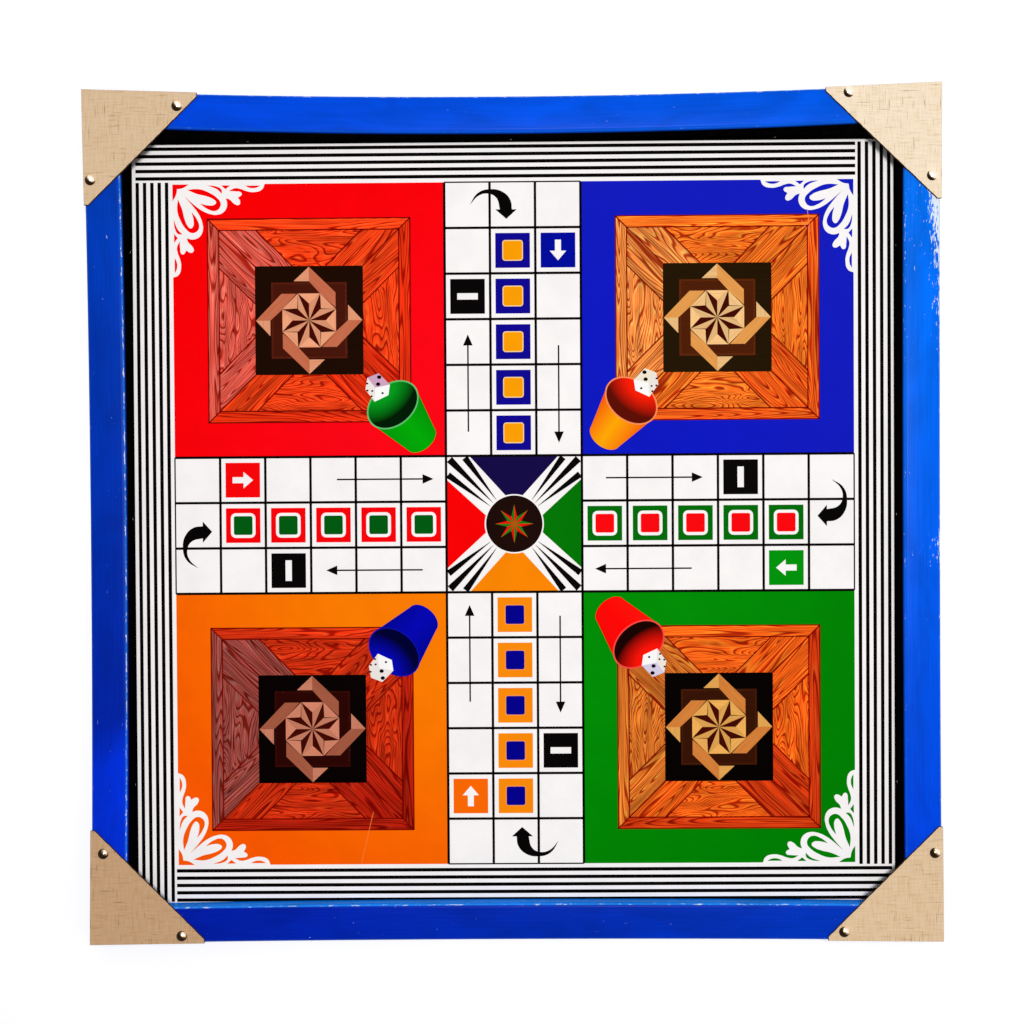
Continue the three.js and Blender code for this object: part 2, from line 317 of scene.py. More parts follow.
def straight_arrow(x, tail, tip):
    """A thin arrow up or down the print, as one outline."""
    way = math.copysign(1, tip - tail)
    neck = tip - way * ARROW_HEAD[0]
    half_shaft, half_head = ARROW_SHAFT / 2, ARROW_HEAD[1] / 2
    return [(x - half_shaft, tail), (x - half_shaft, neck), (x - half_head, neck), (x, tip),
            (x + half_head, neck), (x + half_shaft, neck), (x + half_shaft, tail)]


stripes = []
inner_end = STRIPE_OUTER - STRIPES * STRIPE_PITCH + STRIPE_WIDTH / 2
for index in range(STRIPES):
    level = STRIPE_OUTER - STRIPE_WIDTH / 2 - index * STRIPE_PITCH
    stripes.append(stroke((-inner_end, -level), (STRIPE_OUTER, -level), STRIPE_WIDTH))
arm_lines = []
for column in range(4):
    across = column * CELL - HOME
    arm_lines.append(stroke((across, -HOME), (across, -FIELD), GRID_LINE))
reach = HOME + GRID_LINE / 2
for row in range(6):
    level = -HOME - row * CELL
    arm_lines.append(stroke((-reach, level), (reach, level), GRID_LINE))
arm_lines.append(stroke((-HOME, -FIELD), (HOME, -FIELD), END_LINE))
in_tip = -HOME - ARROW_IN_TIP
out_tail = -HOME - ARROW_OUT_TAIL
arrows = [straight_arrow(-CELL, in_tip - ARROW_LENGTH, in_tip),
          straight_arrow(CELL, out_tail, out_tail - ARROW_LENGTH)]
for name, outlines in (("border_stripes", stripes), ("track_lines", arm_lines), ("way_arrows", arrows)):
    print_areas(name, black_ink, all_round(outlines), 2)

SHARP = True
CURVE_STEPS = 8
CURVE_WELD = 0.002 * MM
TURN_ARROW_CELL = (0, -7 * CELL)
TURN_ARROW = [(4.4, 10.2, SHARP), (-3.1, 3.4, SHARP), (0.3, 3.4, SHARP), (1.4, -3.4), (6.8, -9.2),
              (16.2, -11.3), (25.0, -8.6), (31.0, 0.0, SHARP), (24.0, -6.9), (17.0, -8.0), (11.6, -5.0),
              (9.1, 3.4, SHARP), (12.3, 3.4, SHARP)]


def print_curves(name, material, outlines, layer):
    """Inked areas with curved edges, from closed outlines whose corners are marked sharp. One outline inside
    another is a hole."""
    curve = bpy.data.curves.new(name, "CURVE")
    curve.dimensions = "2D"
    curve.fill_mode = "BOTH"
    curve.resolution_u = CURVE_STEPS
    curve.extrude = (layer + 1) * INK / 2
    for outline in outlines:
        spline = curve.splines.new("BEZIER")
        spline.bezier_points.add(len(outline) - 1)
        spline.use_cyclic_u = True
        for point, (x, y, *sharp) in zip(spline.bezier_points, outline):
            point.co = (*spot(x, y), 0)
        for point, (x, y, *sharp) in zip(spline.bezier_points, outline):
            kind = "VECTOR" if sharp else "AUTO"
            point.handle_left_type = kind
            point.handle_right_type = kind
    drawn = bpy.data.objects.new(name + "_outline", curve)
    bpy.context.collection.objects.link(drawn)
    bpy.context.view_layer.update()
    flat = bpy.data.meshes.new_from_object(drawn.evaluated_get(bpy.context.evaluated_depsgraph_get()))
    bpy.data.objects.remove(drawn)
    bpy.data.curves.remove(curve)
    mesh = bmesh.new()
    mesh.from_mesh(flat)
    bpy.data.meshes.remove(flat)
    bmesh.ops.remove_doubles(mesh, verts=mesh.verts, dist=CURVE_WELD)
    bmesh.ops.translate(mesh, verts=mesh.verts, vec=(0, 0, SHEET_TOP + (layer - 1) * INK / 2))
    make_piece(mesh, name, "laminated_print", material)


def moved(outline, place):
    """An outline moved to a place on the print."""
    return [(x + place[0], y + place[1], *sharp) for x, y, *sharp in outline]


print_curves("turn_arrows", black_ink, all_round([moved(TURN_ARROW, TURN_ARROW_CELL)]), 3)


# Home paths, start and stop squares
# Each arm has five coloured squares up its middle, each with a small one of another colour in a pale line.
# A start square carries a plain white arrow and a stop square a plain white bar.

SQUARE = 25.2
INNER_SQUARE = 13.6
INNER_CORNER = 1.4
CORNER_STEPS = 4
START_PLACE = (-CELL, -6 * CELL)
STOP_PLACE = (CELL, -5 * CELL)
START_SIGN = [(-2.2, -7.5), (2.2, -7.5), (2.2, 0.5), (6.0, 0.5), (0, 7.5), (-6.0, 0.5), (-2.2, 0.5)]
STOP_SIGN = rectangle(0, 0, 15, 4.6)
ARM_COLOURS = {
    "orange": {"square": "#ff8d08", "inner": "#02008c", "rim": "#ff9a52", "start": "#ff6a02"},
    "green": {"square": "#006c06", "inner": "#fd060d", "rim": WHITE, "start": "#00930a"},
    "blue": {"square": "#0f0690", "inner": "#ffa002", "rim": "#ffdc9c", "start": "#000a9c"},
    "red": {"square": "#fb0209", "inner": "#005a10", "rim": WHITE, "start": "#fd0408"},
}
RIM_SIZES = {"orange": 14.8, "green": 18.0, "blue": 15.0, "red": 18.0}

white_ink = film_print("white_paper_under_film", WHITE)


def arc(x, y, width, height, start, end, steps):
    """Points along an ellipse about a point, of a half width and height, between angles in degrees."""
    points = []
    for step in range(steps + 1):
        angle = math.radians(start + (end - start) * step / steps)
        points.append((x + width * math.cos(angle), y + height * math.sin(angle)))
    return points


def rounded_square(x, y, side, radius):
    """The outline of a square with rounded corners about a point."""
    reach = side / 2 - radius
    points = []
    for quarter, (way_x, way_y) in enumerate(((1, 1), (-1, 1), (-1, -1), (1, -1))):
        start = quarter * 90
        points += arc(x + way_x * reach, y + way_y * reach, radius, radius, start, start + 90, CORNER_STEPS)
    return points


path_middles = [(0, -row * CELL) for row in range(2, 7)]
for quarter, (colour, inks) in enumerate(ARM_COLOURS.items()):
    rim = RIM_SIZES[colour]
    rim_corner = INNER_CORNER + (rim - INNER_SQUARE) / 2
    squares = [turned(rectangle(x, y, SQUARE, SQUARE), quarter) for x, y in path_middles]
    rims = [turned(rounded_square(x, y, rim, rim_corner), quarter) for x, y in path_middles]
    inners = [turned(rounded_square(x, y, INNER_SQUARE, INNER_CORNER), quarter) for x, y in path_middles]
    start_square = [turned(rectangle(*START_PLACE, SQUARE, SQUARE), quarter)]
    for part, outlines, layer in (("square", squares, 1), ("rim", rims, 2), ("inner", inners, 3),
                                  ("start", start_square, 1)):
        ink = film_print(f"{colour}_path_{part}_ink", inks[part])
        print_areas(f"{colour}_path_{part}", ink, outlines, layer)
print_areas("stop_squares", black_ink, all_round([rectangle(*STOP_PLACE, SQUARE, SQUARE)]), 1)
print_areas("start_signs", white_ink, all_round([moved(START_SIGN, START_PLACE)]), 2)
print_areas("stop_signs", white_ink, all_round([moved(STOP_SIGN, STOP_PLACE)]), 2)


# Home square
# The middle of the board, three cells each way: four coloured triangles point at a dark disc in the centre.
# Plain black rays fill the corners between them, and the disc holds a plain eight-pointed star.

TRIANGLE_BASE = 32.6
TRIANGLE_APEX = 13.8
DISC_RADIUS = 21.6
DISC_RIM = 1.0
RAYS = (-8.4, 0.0, 8.4)
RAY_INNER, RAY_OUTER = 20.0, (60.0, 66.5, 60.0)
RAY_SPREAD = 2.3
STAR_LONG, STAR_SHORT = 14.0, 5.6
STAR_INKS = {"red": ("#e81208", -22.5), "green": ("#1c7a14", 22.5)}
ROUND = 48
HOME_INKS = {"orange": "#ff8801", "green": "#017603", "navy": "#150946", "red": "#fc0002"}


def polar(radius, degrees):
    """A point at a distance and an angle from the middle."""
    angle = math.radians(degrees)
    return radius * math.cos(angle), radius * math.sin(angle)


def ellipse(x, y, width, height, points):
    """The outline of a whole ellipse about a point."""
    return arc(x, y, width, height, 0, 360 * (points - 1) / points, points - 1)


triangle = [(-TRIANGLE_BASE, -HOME), (TRIANGLE_BASE, -HOME), (0, -TRIANGLE_APEX)]
for quarter, (colour, ink) in enumerate(HOME_INKS.items()):
    print_areas(f"{colour}_home", film_print(f"{colour}_home_ink", ink), [turned(triangle, quarter)], 1)
rays = []
for swing, reach in zip(RAYS, RAY_OUTER):
    middle = swing - 45
    rays.append([polar(RAY_INNER, middle), polar(reach, middle - RAY_SPREAD),
                 polar(reach, middle + RAY_SPREAD)])
print_areas("home_rays", black_ink, all_round(rays), 1)
print_areas("home_disc_rim", white_ink, [ellipse(0, 0, DISC_RADIUS, DISC_RADIUS, ROUND)], 3)
disc = DISC_RADIUS - DISC_RIM
print_areas("home_disc", film_print("dark_disc_ink", "#1c0a06"), [ellipse(0, 0, disc, disc, ROUND)], 4)
for colour, (ink, swing) in STAR_INKS.items():
    facets = [[(0, 0), polar(STAR_SHORT, tip + swing), polar(STAR_LONG, tip)] for tip in range(0, 360, 45)]
    print_areas(f"home_star_{colour}", film_print(f"home_star_{colour}_ink", ink), facets, 5)


# Corner flourishes
# A white scroll ornament in the outer corner of each base, the same on both sides of the diagonal.
# Each half has an end scroll, a tulip and a leaf in a loop; the base's colour shows through its openings.

FLOURISH_EDGE = [(67.5, -0.5, SHARP), (65.4, 4.0), (59.3, 5.9), (54.0, 5.1), (49.9, 3.6), (45.6, 3.0),
                 (41.2, 5.0, SHARP), (46.6, 5.3), (50.0, 6.0), (50.5, 7.6), (47.8, 9.7, SHARP), (49.4, 13.4),
                 (48.2, 15.1), (45.4, 14.5), (41.4, 11.0), (38.8, 10.2, SHARP), (39.8, 13.6), (39.3, 17.2),
                 (37.2, 20.2), (33.0, 22.0), (27.8, 21.6), (22.0, 19.3), (16.2, 15.2)]
FLOURISH_NOTCH = (8.5, 8.5, SHARP)
FLOURISH_OPENINGS = [
    [(64.2, 1.2, SHARP), (60.8, 2.8), (56.4, 2.8), (53.0, 1.2, SHARP)],
    [(42.2, 1.0, SHARP), (38.7, 3.6, SHARP), (35.6, 0.9, SHARP)],
    [(25.2, 0.8, SHARP), (32.2, 1.7), (35.8, 4.0), (36.0, 7.0, SHARP), (32.6, 3.7)],
    [(10.7, 3.9, SHARP), (19.4, 3.5), (26.6, 6.0), (32.4, 9.8), (35.1, 13.6), (34.3, 17.2), (31.2, 19.3),
     (25.4, 17.8), (19.9, 13.8, SHARP), (26.4, 15.3), (30.5, 14.8), (31.8, 13.0), (29.8, 10.8),
     (25.0, 8.7), (17.8, 6.9)],
]
CORNER_OPENING = [(12.0, 0.0, SHARP), (7.6, 2.6), (3.4, 3.4, SHARP)]


def mirrored(outline):
    """The mirror image of an outline across the corner's diagonal, in turning order."""
    return [(y, x, *sharp) for x, y, *sharp in reversed(outline)]


def flourish(quarter):
    """The outlines of one flourish, from corner distances to print places."""
    outlines = [FLOURISH_EDGE + [FLOURISH_NOTCH] + mirrored(FLOURISH_EDGE) + [(-0.5, -0.5, SHARP)]]
    outlines.append(CORNER_OPENING + mirrored(CORNER_OPENING)[1:] + [(0.0, 0.0, SHARP)])
    for opening in FLOURISH_OPENINGS:
        outlines += [opening, mirrored(opening)]
    return [turned(moved(outline, (-FIELD, -FIELD)), quarter) for outline in outlines]


for quarter, colour in enumerate(BASE_INKS):
    print_curves(f"{colour}_flourish", white_ink, flourish(quarter), 2)


# Printed parquet panels
# A picture of stained oak parquet in the middle of each base: a mitred strip round twelve planks, with dark
# joints. Grain runs along every plank, with the looped figure of flat-sawn oak; the left planks are paler.

PANEL_HALF = 74.0
STRIP = 8.4
SQUARE_HALF = 39.4
PLANK_SPLIT = 38.5
JOINT = 0.9
OAK_LOOP = (75 * MM, 15 * MM)
OAK_PORE = (14 * MM, 0.7 * MM)
OAK_BAND = (40 * MM, 5 * MM)
OAK_RINGS = 27.0
GRAIN_SHIFT = 3
LIMED = (1, 1.9, 2.1, 1)
RING_TINT = (0.4, 0.09, 0.04, 1)
PORE_TINT = (0.5, 0.24, 0.16, 1)
PARQUET = {
    "orange": {"stain": "#d83210", "pale": "#a24a42", "deep": "#bc200c", "light": "#dc8c70",
               "ribbon": "#a65c44", "ground": "#050100", "inner": "#2a0502"},
    "green": {"stain": "#fd6618", "pale": "#e67a2a", "deep": "#de3e10", "light": "#f7b75e",
              "ribbon": "#d8843c", "ground": "#030000", "inner": "#361304"},
    "blue": {"stain": "#ff7822", "pale": "#ff9446", "deep": "#ff621a", "light": "#fece8c",
             "ribbon": "#e8a052", "ground": "#221503", "inner": "#4e1e06"},
    "red": {"stain": "#ff4617", "pale": "#ea5e4e", "deep": "#f03310", "light": "#f8aa82",
            "ribbon": "#ca7050", "ground": "#1c0a02", "inner": "#47160a"},
}
STRIP_SHADES = (1.0, 1.0, 1.2, 0.95)
PALE_PLANKS = {(2, 3), (3, 0), (3, 1), (3, 2), (3, 3)}
DEEP_PLANKS = {(0, 0), (0, 3), (1, 0), (1, 2)}


def dimmed(hex_colour, factor):
    """A colour made darker or lighter by a factor, in linear light."""
    return [channel * factor for channel in linear(hex_colour)[:3]] + [1.0]


def oak_print():
    """A printed picture of stained oak: dark looped growth rings with pale edges, and short pores."""
    material, tree, shader = start_material("oak_picture_under_film", FILM_ROUGHNESS, FILM_SPECULAR)
    grain = put(tree, "UVMap", uv_map="grain")
    stain = put(tree, "Attribute", attribute_name="stain")
    long = put(tree, "Mapping", {"Vector": grain, "Scale": repeats(OAK_LOOP)})
    loops = put(tree, "TexNoise", {"Vector": long, "Scale": 1, "Detail": 1.6, "Roughness": 0.4,
                                   "Distortion": 0.2})
    phase = put(tree, "Math", [loops, OAK_RINGS * math.tau], operation="MULTIPLY")
    beside = put(tree, "Math", [phase], operation="COSINE")
    pale = put(tree, "MapRange", [beside, 0.3, 1, 0, 0.7])
    limed = put(tree, "Mix", {0: pale, 6: stain, 7: LIMED}, data_type="RGBA", blend_type="MULTIPLY")
    wave = put(tree, "Math", [phase], operation="SINE")
    rings = put(tree, "MapRange", [wave, 0.15, 0.95, 0, 0.95])
    ringed = put(tree, "Mix", {0: rings, 6: limed, 7: RING_TINT}, data_type="RGBA", blend_type="MULTIPLY")
    short = put(tree, "Mapping", {"Vector": grain, "Scale": repeats(OAK_PORE)})
    pores = put(tree, "TexNoise", {"Vector": short, "Scale": 1, "Detail": 2})
    streak = put(tree, "MapRange", [pores, 0.45, 0.7, 0, 0.9])
    pored = put(tree, "Mix", {0: streak, 6: ringed, 7: PORE_TINT}, data_type="RGBA", blend_type="MULTIPLY")
    band = put(tree, "Mapping", {"Vector": grain, "Scale": repeats(OAK_BAND)})
    bands = put(tree, "TexNoise", {"Vector": band, "Scale": 1, "Detail": 2})
    level = put(tree, "MapRange", [bands, 0.3, 0.7, 0.72, 1.46])
    colour = put(tree, "VectorMath", {0: pored, "Scale": level}, operation="SCALE")
    join(tree, shader, {"Base Color": colour})
    return material


def lay_veneer(mesh, outline, layer, stain, along, offset, figure=1.0):
    """Lays one veneer of a picture, with its stain and its grain along a way; less figure is straighter."""
    face = lay(mesh, outline, layer)
    grain = mesh.loops.layers.uv.verify()
    tone = mesh.loops.layers.float_color.get("stain") or mesh.loops.layers.float_color.new("stain")
    way = Vector((*along, 0)).normalized()
    across = Vector((-way.y, way.x, 0))
    for loop in face.loops:
        loop[grain].uv = (loop.vert.co.dot(way) * figure + offset, loop.vert.co.dot(across) + offset)
        loop[tone] = stain


oak = oak_print()
joint_ink = film_print("joint_brown_ink", "#7a0500")
inner_half = PANEL_HALF - STRIP
plank_inner = PLANK_SPLIT - (inner_half - SQUARE_HALF)
rng = random.Random(5)
PLANKS = [
    ([(-PANEL_HALF, -PANEL_HALF), (PANEL_HALF, -PANEL_HALF), (inner_half, -inner_half),
      (-inner_half, -inner_half)], (1, 0), 1.0, 0.35),
    ([(-PLANK_SPLIT, -inner_half), (PLANK_SPLIT, -inner_half), (plank_inner, -SQUARE_HALF),
      (-plank_inner, -SQUARE_HALF)], (1, 0), 1.0, 1.0),
    ([(-inner_half, -inner_half), (-PLANK_SPLIT, -inner_half), (-plank_inner, -SQUARE_HALF),
      (-SQUARE_HALF, -SQUARE_HALF)], (1, 1), 0.9, 0.45),
    ([(PLANK_SPLIT, -inner_half), (inner_half, -inner_half), (SQUARE_HALF, -SQUARE_HALF),
      (plank_inner, -SQUARE_HALF)], (-1, 1), 0.97, 0.45),
]
edge = PANEL_HALF - JOINT / 4
JOINTS = [((-edge, -edge), (edge, -edge)),
          ((-inner_half, -inner_half), (inner_half, -inner_half)),
          ((-PANEL_HALF, -PANEL_HALF), (-SQUARE_HALF, -SQUARE_HALF)),
          ((-PLANK_SPLIT, -inner_half), (-plank_inner, -SQUARE_HALF)),
          ((PLANK_SPLIT, -inner_half), (plank_inner, -SQUARE_HALF))]
for quarter, (colour, woods) in enumerate(PARQUET.items()):
    middle = turned([(-BASE_MIDDLE, -BASE_MIDDLE)], quarter)[0]
    mesh = bmesh.new()
    mesh.loops.layers.uv.new("grain")
    seams = []
    for side in range(4):
        for index, (outline, along, shade, figure) in enumerate(PLANKS):
            tint = "stain"
            if (side, index) in PALE_PLANKS:
                tint = "pale"
            elif (side, index) in DEEP_PLANKS:
                tint = "deep"
            lit = shade * STRIP_SHADES[side] if index == 0 else shade
            place = moved(turned(outline, side), middle)
            way = turned([along], side)[0]
            lay_veneer(mesh, place, 2, dimmed(woods[tint], lit), way, rng.uniform(0, GRAIN_SHIFT), figure)
        seams += [moved(turned(stroke(*joint, JOINT), side), middle) for joint in JOINTS]
    make_piece(mesh, f"{colour}_parquet", "laminated_print", oak)
    print_areas(f"{colour}_parquet_joints", joint_ink, seams, 3)


# Inlaid stars
# In the middle of each parquet picture, a dark square holds a star inlaid in light, mid and dark veneers.
# Four bent ribbons turn round an eight-pointed star, each point half light and half dark.

STAR_TIP = 0.54
STAR_NOTCH = 0.31
GROUND_RING = 0.70
GROUND_RING_WIDTH = 0.035
GROUND_RING_SHADE = 1.5
END_SHADE, CORNER_SHADE, POINT_SHADE = 0.85, 0.92, 0.8
POINT_HALF = 22.5
RIBBON = [(0, 0.985), (0.49, 0.51), (0.49, 0.235), (0.20, 0.50), (0, 0.72)]
RIBBON_END = [(-0.285, 0.72), (0, 0.72), (0, 0.985)]
CORNER_VENEER = [(0.205, 0.495), (0.20, 0.205), (0.495, 0.205)]
SIDE_VENEER = [(-0.205, 0.495), (0, 0.31), (0.205, 0.495)]
MAPLE_GRAIN = (24 * MM, 0.9 * MM)
MAPLE_TINT = (0.72, 0.5, 0.36, 1)
WALNUT = "#430a02"


def maple_print():
    """A printed picture of maple and walnut veneers: each facet its own tone, with a faint straight grain."""
    material, tree, shader = start_material("maple_picture_under_film", FILM_ROUGHNESS, FILM_SPECULAR)
    grain = put(tree, "UVMap", uv_map="grain")
    stain = put(tree, "Attribute", attribute_name="stain")
    fine = put(tree, "Mapping", {"Vector": grain, "Scale": repeats(MAPLE_GRAIN)})
    lines = put(tree, "TexNoise", {"Vector": fine, "Scale": 1, "Detail": 3})
    faint = put(tree, "MapRange", [lines, 0.4, 0.7, 0, 0.45])
    colour = put(tree, "Mix", {0: faint, 6: stain, 7: MAPLE_TINT}, data_type="RGBA", blend_type="MULTIPLY")
    join(tree, shader, {"Base Color": colour})
    return material


def inlay(mesh, middle, outline, layer, stain, along):
    """Lays one veneer of a star about its middle, from an outline in halves of the dark square."""
    sized = [(x * SQUARE_HALF, y * SQUARE_HALF) for x, y in outline]
    lay_veneer(mesh, moved(sized, middle), layer, stain, along, rng.uniform(0, GRAIN_SHIFT))


maple = maple_print()
ring_inner = GROUND_RING - GROUND_RING_WIDTH
for quarter, (colour, woods) in enumerate(PARQUET.items()):
    middle = turned([(-BASE_MIDDLE, -BASE_MIDDLE)], quarter)[0]
    mesh = bmesh.new()
    mesh.loops.layers.uv.new("grain")
    ring_tone = dimmed(woods["inner"], GROUND_RING_SHADE)
    for half, layer, stain in ((1, 3, linear(woods["ground"])), (GROUND_RING, 4, ring_tone),
                               (ring_inner, 5, linear(woods["inner"]))):
        inlay(mesh, middle, rectangle(0, 0, 2 * half, 2 * half), layer, stain, (1, 0))
    for turn in range(4):
        way = turned([(1, -1)], turn)[0]
        side_way = turned([(1, 0)], turn)[0]
        for outline, stain, along in ((RIBBON, linear(woods["ribbon"]), way),
                                      (RIBBON_END, dimmed(woods["light"], END_SHADE), side_way),
                                      (CORNER_VENEER, dimmed(woods["light"], CORNER_SHADE), way),
                                      (SIDE_VENEER, linear(woods["light"]), side_way)):
            inlay(mesh, middle, turned(outline, turn), 6, stain, along)
    for point in range(8):
        angle = (2 * point + 1) * POINT_HALF
        tip = polar(STAR_TIP, angle)
        for swing, stain in ((POINT_HALF, dimmed(woods["light"], POINT_SHADE)),
                             (-POINT_HALF, linear(WALNUT))):
            inlay(mesh, middle, [(0, 0), tip, polar(STAR_NOTCH, angle + swing)], 6, stain, tip)
    make_piece(mesh, f"{colour}_inlaid_star", "laminated_print", maple)


# Dice cups and dice
# At the inner corner of each base, a picture of a dice cup on its side with a die rolling out of its mouth.
# The cups are shaded across the body and along the hollow; the dice are white with black spots.

MOUTH = (21.0, 15.3)
LIP = 1.1
CUP_LENGTH = 32.0
CUP_END = (12.6, 8.0)
MOUTH_STEPS, END_STEPS = 24, 20
LIT_PLACE = (0, -0.95, 0)
HOLLOW_SHADE = (0.55, 1.4)
CUPS = {
    "orange": {"cup": "blue", "mouth": (-88.2, -92.6), "end": (-69.2, -71.0), "die": (-98.0, -104.2),
               "top": "#f1eae4"},
    "green": {"cup": "red", "mouth": (90.2, -88.0), "end": (72.2, -66.4), "die": (101.4, -101.6),
              "top": "#d9d0e8"},
    "blue": {"cup": "amber", "mouth": (85.7, 88.7), "end": (67.5, 64.3), "die": (96.6, 101.8),
             "top": "#f4ead6"},
    "red": {"cup": "green", "mouth": (-88.0, 86.9), "end": (-68.8, 63.6), "die": (-99.0, 99.6),
            "top": "#d2a6c4"},
}
CUP_TONES = {
    "blue": {"body": ("#00038f", "#0406b4", "#00038f"), "lip": "#0a0ea0", "inside": ("#0306b2", "#000030")},
    "red": {"body": ("#fe1408", "#ff0503", "#f40806"), "lip": "#ff4a44", "inside": ("#fb1206", "#160200")},
    "amber": {"body": ("#f63a08", "#ffa802", "#f8520a"), "lip": "#ff8f58", "inside": ("#fa1c04", "#5c0c02")},
    "green": {"body": ("#01960a", "#00ab04", "#018c08"), "lip": "#5fc070", "inside": ("#039a1c", "#001a02")},
}
DIE_FACES = {
    "top": [(-0.9, 10.3), (7.4, 7.1), (1.6, -0.2), (-9.0, 2.0)],
    "front": [(-9.0, 2.0), (1.6, -0.2), (2.3, -10.4), (-7.9, -5.7)],
    "side": [(1.6, -0.2), (7.4, 7.1), (8.9, -1.4), (2.3, -10.4)],
}
DIE_SPOTS = [(-1.2, 7.4, 1.6), (-0.4, 2.3, 1.6), (-3.6, -4.2, 0.9), (3.9, -2.6, 0.8), (7.6, 2.8, 0.8),
             (7.4, -2.2, 0.8), (4.4, -6.4, 0.8)]
DOT_SQUASH = 0.85
DOT_POINTS = 12


def shaded_cup(name, tones, hollow=False):
    """A printed picture of a plastic cup: tones blend across its body, or from the lit side of its hollow."""
    material, tree, shader = start_material(name, FILM_ROUGHNESS, FILM_SPECULAR)
    place = put(tree, "UVMap", uv_map="picture")
    if hollow:
        away = put(tree, "VectorMath", [place, LIT_PLACE], operation="DISTANCE")
        share = put(tree, "MapRange", [away, *HOLLOW_SHADE])
    else:
        across = put(tree, "SeparateXYZ", [place]).outputs["X"]
        share = put(tree, "MapRange", [across, -1, 1])
    stops = [(index / (len(tones) - 1), tone) for index, tone in enumerate(tones)]
    colour = put(tree, "ValToRGB", [share], stops=stops)
    join(tree, shader, {"Base Color": colour})
    return material


def shaded_area(name, material, outline, layer, middle, across, along):
    """One shaded area of a picture, mapped from -1 to 1 across and along the cup's mouth."""
    mesh = bmesh.new()
    picture = mesh.loops.layers.uv.new("picture")
    centre = Vector(spot(*middle))
    for loop in lay(mesh, outline, layer).loops:
        away = loop.vert.co.xy - centre
        loop[picture].uv = (away.dot(across) / (MOUTH[0] * MM), away.dot(along) / (MOUTH[1] * MM))
    make_piece(mesh, name, "laminated_print", material)


def on_cup(points, middle, across, axis):
    """Points in a cup's own axes, across and along, as print places."""
    return [tuple(middle + across * x + axis * y) for x, y in points]


die_white = film_print("die_white_ink", "#fffdfb")
die_grey = film_print("die_grey_ink", "#f2e9e3")
for colour, picture in CUPS.items():
    tones = CUP_TONES[picture["cup"]]
    mouth = Vector(picture["mouth"])
    axis = (Vector(picture["end"]) - mouth).normalized()
    axes = (mouth, Vector((-axis.y, axis.x)), axis)
    end = arc(0, CUP_LENGTH, *CUP_END, 0, 180, END_STEPS)
    body = on_cup(arc(0, 0, *MOUTH, 180, 360, MOUTH_STEPS) + end, *axes)
    rim = on_cup(ellipse(0, 0, *MOUTH, ROUND), *axes)
    inside = on_cup(ellipse(0, 0, MOUTH[0] - LIP, MOUTH[1] - LIP, ROUND), *axes)
    name = f"{picture['cup']}_cup"
    body_ink = shaded_cup(f"{name}_body_ink", tones["body"])
    inside_ink = shaded_cup(f"{name}_inside_ink", tones["inside"], hollow=True)
    shaded_area(f"{name}_body", body_ink, body, 4, *axes)
    print_areas(f"{name}_lip", film_print(f"{name}_lip_ink", tones["lip"]), [rim], 5)
    shaded_area(f"{name}_inside", inside_ink, inside, 6, *axes)
    die_top = film_print(f"{name}_die_top_ink", picture["top"])
    flip_x = math.copysign(1, picture["die"][0])
    flip_y = math.copysign(1, picture["die"][1])
    for face, ink in (("top", die_top), ("front", die_white), ("side", die_grey)):
        outline = [(x * flip_x, y * flip_y) for x, y in DIE_FACES[face]]
        print_areas(f"{name}_die_{face}", ink, [moved(outline, picture["die"])], 7)
    dots = [ellipse(x * flip_x, y * flip_y, radius, radius * DOT_SQUASH, DOT_POINTS)
            for x, y, radius in DIE_SPOTS]
    print_areas(f"{name}_die_spots", black_ink, [moved(dot, picture["die"]) for dot in dots], 8)


# Film creases
# Small creases in the clear film catch the light, shown as painted highlights in paler ink: one below the
# orange panel, and two at the outer corner of the blue one.

CREASE = 0.4
CREASE_HIGHLIGHTS = {
    "orange": ("#f08a3c", [((-104.4, -209.4), (-113.4, -247.0))]),
    "blue": ("#ff8f68", [((214.0, 226.0), (216.2, 209.5)), ((209.7, 218.2), (213.6, 212.0))]),
}
for colour, (hex_colour, creases) in CREASE_HIGHLIGHTS.items():
    # Each crease's painted highlight, in a paler ink.
    ink = film_print(f"{colour}_film_crease_highlight", hex_colour)
    print_areas(f"{colour}_film_crease_highlight", ink, [stroke(*crease, CREASE) for crease in creases], 7)


# Frame rails
# Four planed timber rails, mitred and nailed, with a rebate below for the panel and rounded arrises.
# They were brushed with blue gloss enamel, and have bowed a little inwards since, the top one most.

HALF = cad_box[1].x
RAIL_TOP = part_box("top_rail")[1].z
RAIL_WIDTH = 26.2 * MM
REBATE_INSET = 13 * MM
REBATE_HEIGHT = 4.7 * MM
OUTER_ARRIS = 2.5 * MM
INNER_ARRIS = 3 * MM
MITRE_GAP = 0.3 * MM
RAIL_STEPS = 60
ARRIS_SEGMENTS = 5
BRUSH_MARK = (70 * MM, 1.1 * MM)
COAT_PATCH = (62 * MM, 24 * MM)
CHIP = (7 * MM, 1.8 * MM)
# Paint tones along each rail carry painted light: brighter towards the upper right, and a painted reflection
# low on the left rail.
COAT_AND_LIGHT_STOPS = {
    "bottom": [(0, "#0018a2"), (1, "#0036bc")],
    "right": [(0, "#003adc"), (1, "#0076f8")],
    "top": [(0, "#005ae6"), (1, "#0042da")],
    "left": [(0, "#0040bc"), (0.74, "#0022a0"), (0.8, "#0030da"), (1, "#0030da")],
}
# How pale each rail's outer and inner arris is: partly worn paint, partly a painted highlight along the edge.
ARRIS_WEAR_AND_HIGHLIGHT = {"bottom": (0.3, 0.8), "right": (0.6, 0.3), "top": (0.9, 0.3), "left": (0.3, 1.0)}
FLECKS = {"right": [(0.74, 0.2, 1.5), (0.5, 0.2, 0.6), (-0.08, 0.07, 0.8)]}
FLECK_BAND = 11 * MM
ARRIS_BAND = 1.8 * MM
ARRIS_HIGHLIGHT = 0.65
